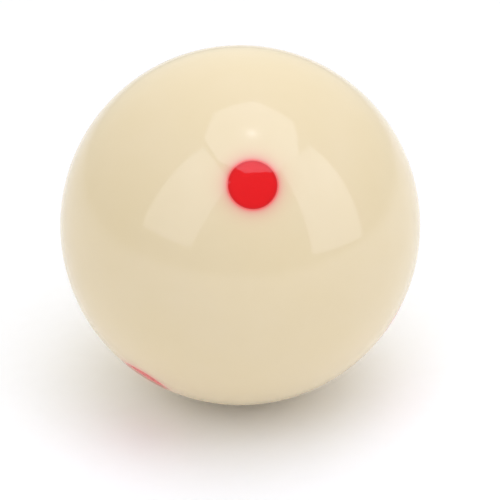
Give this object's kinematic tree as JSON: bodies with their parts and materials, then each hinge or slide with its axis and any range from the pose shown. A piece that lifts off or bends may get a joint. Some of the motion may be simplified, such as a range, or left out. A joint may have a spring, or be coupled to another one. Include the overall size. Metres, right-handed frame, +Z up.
{
  "type": "cue ball",
  "caption": "Round ivory practice cue ball for pool, with round red aiming dots set flush in its surface, a quarter turn apart.",
  "frame": {"origin": "centre of the ball", "axes": "+Z up as the ball lies on a table, -Y towards the front, where the first red dot faces forward and up, +X to the right seen from the front"},
  "size_m": [0.0572, 0.0572, 0.0572],
  "materials": {
    "ivory_resin": "polished",
    "red_resin": "polished"
  },
  "bodies": {
    "root": {"ball_body": "ivory_resin", "dot_inlay_1": "red_resin", "dot_inlay_2": "red_resin", "dot_inlay_3": "red_resin", "dot_inlay_4": "red_resin", "dot_inlay_5": "red_resin", "dot_inlay_6": "red_resin"}
  },
  "joints": []
}
